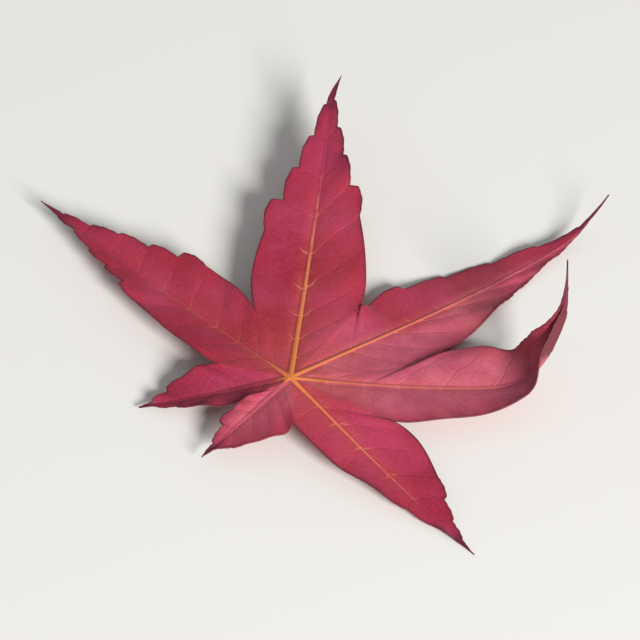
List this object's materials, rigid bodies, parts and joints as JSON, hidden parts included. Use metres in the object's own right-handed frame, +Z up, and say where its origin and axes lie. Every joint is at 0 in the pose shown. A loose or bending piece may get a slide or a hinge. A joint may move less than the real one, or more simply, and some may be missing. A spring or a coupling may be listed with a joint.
{
  "type": "maple leaf",
  "caption": "Dried red palmate maple leaf with toothed pointed lobes, curled tips and a thin stalk, lying on a surface as a natural decoration",
  "frame": {"origin": "middle of the leaf's bounding box, on the surface that it lies on", "axes": "+Z up, away from the surface; +Y along the crown lobe, away from the stalk; +X to the crown lobe's right, seen from above"},
  "size_m": [0.0998, 0.0834, 0.025],
  "materials": {
    "leaf_tissue": "matt to satin dried leaf tissue"
  },
  "bodies": {
    "root": {"leaf": "leaf_tissue"}
  },
  "joints": []
}
